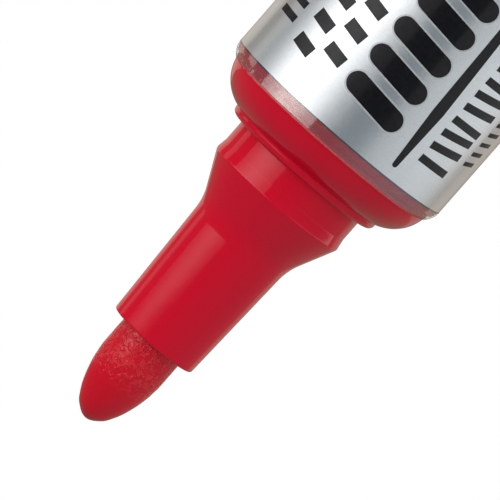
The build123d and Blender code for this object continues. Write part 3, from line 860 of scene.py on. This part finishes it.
def carried_over():
    """CAD nodes whose shape is right, with their finish."""
    finishes = {
        "front_seal_ring": RUBBER,
        "tail_seal_ring": RUBBER,
        "valve_seal": RUBBER,
        "check_valve": RUBBER,
        "pump_piston": RUBBER,
        "relay_wick": PAD,
        "ink_absorber": PAD,
        "valve_retainer": NATURAL,
        "valve_housing": NATURAL,
        "valve_poppet": NATURAL,
        "pump_cylinder": NATURAL,
        "cap_liner": NATURAL,
        "barrel": GREY,
        "ink_charge": INK,
    }
    for node, material in finishes.items():
        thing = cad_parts[node]
        thing.data.materials.clear()
        thing.data.materials.append(material)


# ================= Stage, light and camera =================
AIM = Vector((-0.95, 0, MOUTH - 9.13)) * MM  # point at the picture's centre
TILT = 5.5  # degrees that the nib leans away from the camera
ROLL = 48.8  # degrees from the picture's level to the marker's axis
DISTANCE = 0.45
WIDTH_SEEN = 0.0345  # at that distance
SENSOR = 36


def camera():
    """A long lens, a little below the nib, rolled so that the nib points down and left."""
    back = Vector((0, -cos(radians(TILT)), -sin(radians(TILT))))
    axis = (Vector((0, 0, 1)) - back * back.z).normalized()
    side = Vector((-1, 0, 0))
    right = -axis * cos(radians(ROLL)) + side * sin(radians(ROLL))
    up = -axis * sin(radians(ROLL)) - side * cos(radians(ROLL))
    lens = bpy.data.cameras.new("camera")
    lens.sensor_width = SENSOR
    lens.lens = SENSOR * DISTANCE / WIDTH_SEEN
    lens.clip_start = 0.01
    thing = bpy.data.objects.new("camera", lens)
    bpy.context.scene.collection.objects.link(thing)
    turn = Matrix((right, up, back)).transposed().to_4x4()
    thing.matrix_world = Matrix.Translation(AIM + back * DISTANCE) @ turn
    bpy.context.scene.camera = thing


def softbox(name, around, lift, wide, tall, glow, tint=(1, 1, 1), falloff=0.0, distance=0.6):
    """A rectangular light aimed at the nib end: degrees round from the camera and up, and its spread in degrees.

    falloff dims it from its middle to its edges, as a lamp behind a cloth does.
    """
    target = Vector((0, 0, MOUTH - 12)) * MM
    out = Vector(
        (
            -sin(radians(around)) * cos(radians(lift)),
            -cos(radians(around)) * cos(radians(lift)),
            sin(radians(lift)),
        )
    )
    light = bpy.data.lights.new(name, "AREA")
    light.shape = "RECTANGLE"
    light.size = 2 * distance * tan(radians(wide / 2))
    light.size_y = 2 * distance * tan(radians(tall / 2))
    light.energy = glow * pi * light.size * light.size_y
    light.color = tint
    if falloff:
        dim_to_edges(light, falloff)
    thing = bpy.data.objects.new(name, light)
    bpy.context.scene.collection.objects.link(thing)
    thing.location = target + out * distance
    thing.rotation_euler = out.to_track_quat("Z", "Y").to_euler()
    thing.visible_camera = False
    return thing


def dim_to_edges(light, falloff):
    """Makes a light fall off from its middle, by this share at its sides and by less at its top and bottom."""
    light.use_nodes = True
    nodes, links = light.node_tree.nodes, light.node_tree.links
    place = nodes.new("ShaderNodeNewGeometry").outputs["Parametric"]
    centred = nodes.new("ShaderNodeVectorMath")
    centred.operation = "MULTIPLY_ADD"
    across, upward = 1.0, 0.6  # how far along the falloff the sides lie, and the top and bottom
    centred.inputs[1].default_value = (2 * across, 2 * upward, 0)
    centred.inputs[2].default_value = (-across, -upward, 0)
    links.new(place, centred.inputs[0])
    reach = nodes.new("ShaderNodeVectorMath")
    reach.operation = "LENGTH"
    links.new(centred.outputs[0], reach.inputs[0])
    fade = nodes.new("ShaderNodeMapRange")
    fade.interpolation_type = "SMOOTHSTEP"
    fade.inputs["To Min"].default_value = 1.0
    fade.inputs["To Max"].default_value = 1.0 - falloff
    links.new(reach.outputs["Value"], fade.inputs["Value"])
    links.new(fade.outputs["Result"], nodes["Emission"].inputs["Strength"])


# Each strip is its name, degrees round from the camera, degrees wide and brightness. A card also has its colour.
STRIPS = (("left_strip", -112, 14, 0.42), ("rim_strip", -151, 30, 0.42), ("right_strip", 150, 30, 0.20))
STRIP_LIFT, STRIP_TALL, STRIP_TINT = 3, 24, (1.0, 0.95, 0.87)
CARDS = (("label_card", 75, 94, 0.90, (1.0, 0.965, 0.92)), ("label_fill", -50, 92, 1.00, (1, 1, 1)))
CARD_TOP, CARD_TALL, CARD_DISTANCE = MOUTH + 3.5, 48, 0.30


def lights():
    """A key box at the camera's left, strips at the far left and behind, and the label's cards."""
    softbox("key", -51, -4, 64, 32, 2.0, falloff=0.70)
    for name, around, wide, glow in STRIPS:
        softbox(name, around, STRIP_LIFT, wide, STRIP_TALL, glow, STRIP_TINT)
    for name, around, wide, glow, tint in CARDS:
        label_card(name, around, wide, glow, tint)


def label_card(name, around, wide, glow, tint):
    """A near card that stands only as high as the label's mirror image of it."""
    tall = 2 * degrees(atan(CARD_TALL * MM / 2 / CARD_DISTANCE))
    card = softbox(name, around, 0, wide, tall, glow, tint, distance=CARD_DISTANCE)
    card.location.z = (CARD_TOP - CARD_TALL / 2) * MM
    out = Vector((-sin(radians(around)), -cos(radians(around)), 0))
    card.rotation_euler = out.to_track_quat("Z", "Y").to_euler()


# The world's brightness by direction: from and to a part of the direction, and the brightness at each
MATT_BY_HEIGHT, MATT_BY_SIDE = (0, 1, 0.465, 0.05), (-1, 1, -0.04, 0.12)
ROOM_BY_HEIGHT, ROOM_BY_SIDE = (0, 1, 0.13, 0.26), (-1, 0, 0.14, 0.0)
ROOM_BY_DEPTH = (0.2, 0.8, 0.0, 1.0)  # what gloss mirrors goes from cool in front to warm behind
ROOM_FRONT, ROOM_BACK = (0.78, 0.98, 1.12, 1), (1.30, 1.10, 0.92, 1)


def surroundings():
    """Pure white behind, pale light on matt surfaces, dimmer from above, and a dim room in gloss."""
    world = bpy.data.worlds.new("room")
    bpy.context.scene.world = world
    world.use_nodes = True
    nodes, links = world.node_tree.nodes, world.node_tree.links
    nodes.clear()

    def glow():
        node = nodes.new("ShaderNodeBackground")
        node.inputs["Color"].default_value = (1, 1, 1, 1)
        return node

    def mix(share, one, two):
        node = nodes.new("ShaderNodeMixShader")
        links.new(share, node.inputs[0])
        links.new(one.outputs[0], node.inputs[1])
        links.new(two.outputs[0], node.inputs[2])
        return node

    def ramp(value, near, far, low_end, high_end):
        node = nodes.new("ShaderNodeMapRange")
        links.new(value, node.inputs["Value"])
        for socket, number in zip(("From Min", "From Max", "To Min", "To Max"), (near, far, low_end, high_end)):
            node.inputs[socket].default_value = number
        return node.outputs["Result"]

    def total(one, two):
        node = nodes.new("ShaderNodeMath")
        links.new(one, node.inputs[0])
        links.new(two, node.inputs[1])
        return node.outputs["Value"]

    path = nodes.new("ShaderNodeLightPath")
    way = nodes.new("ShaderNodeSeparateXYZ")
    links.new(nodes.new("ShaderNodeTexCoord").outputs["Generated"], way.inputs[0])
    soft = glow()
    by_height, by_side = ramp(way.outputs["Z"], *MATT_BY_HEIGHT), ramp(way.outputs["X"], *MATT_BY_SIDE)
    links.new(total(by_height, by_side), soft.inputs["Strength"])
    room = glow()
    warmth = nodes.new("ShaderNodeMix")
    warmth.data_type = "RGBA"
    links.new(ramp(way.outputs["Y"], *ROOM_BY_DEPTH), warmth.inputs["Factor"])
    colour_a, colour_b, mixed = warmth.inputs[6], warmth.inputs[7], warmth.outputs[2]
    colour_a.default_value, colour_b.default_value = ROOM_FRONT, ROOM_BACK
    links.new(mixed, room.inputs["Color"])
    by_height, by_side = ramp(way.outputs["Z"], *ROOM_BY_HEIGHT), ramp(way.outputs["X"], *ROOM_BY_SIDE)
    links.new(total(by_height, by_side), room.inputs["Strength"])
    mirrored = mix(path.outputs["Is Glossy Ray"], soft, room)
    seen = mix(path.outputs["Is Camera Ray"], mirrored, glow())
    output = nodes.new("ShaderNodeOutputWorld")
    links.new(seen.outputs[0], output.inputs["Surface"])


def floor():
    """A wide pale floor that the cap stands on."""
    size, rings = 1.6, 48
    verts = [(0, 0, 0)] + [(size * cos(2 * pi * k / rings), size * sin(2 * pi * k / rings), 0) for k in range(rings)]
    faces = [(0, 1 + k, 1 + (k + 1) % rings) for k in range(rings)]
    mesh = bpy.data.meshes.new("floor")
    mesh.from_pydata(verts, [], faces)
    thing = bpy.data.objects.new("floor", mesh)
    bpy.context.scene.collection.objects.link(thing)
    material = new_material("pale_floor", Emission_Color=(1, 1, 1, 1), Emission_Strength=0.52)
    paint(material, speckle(material, 30.0), (0.54, 0.54, 0.54), (0.57, 0.57, 0.57))
    vary(material, speckle(material, 12.0), 0.85, 0.92)
    mesh.materials.append(material)
    thing.visible_glossy = False


camera()
lights()
surroundings()
floor()
front_pieces()
sleeve()
label_marks()
tail_moulding()
button()
cap()
springs()
carried_over()

scene = bpy.context.scene
scene.view_settings.view_transform = "Standard"
scene.view_settings.look = "None"
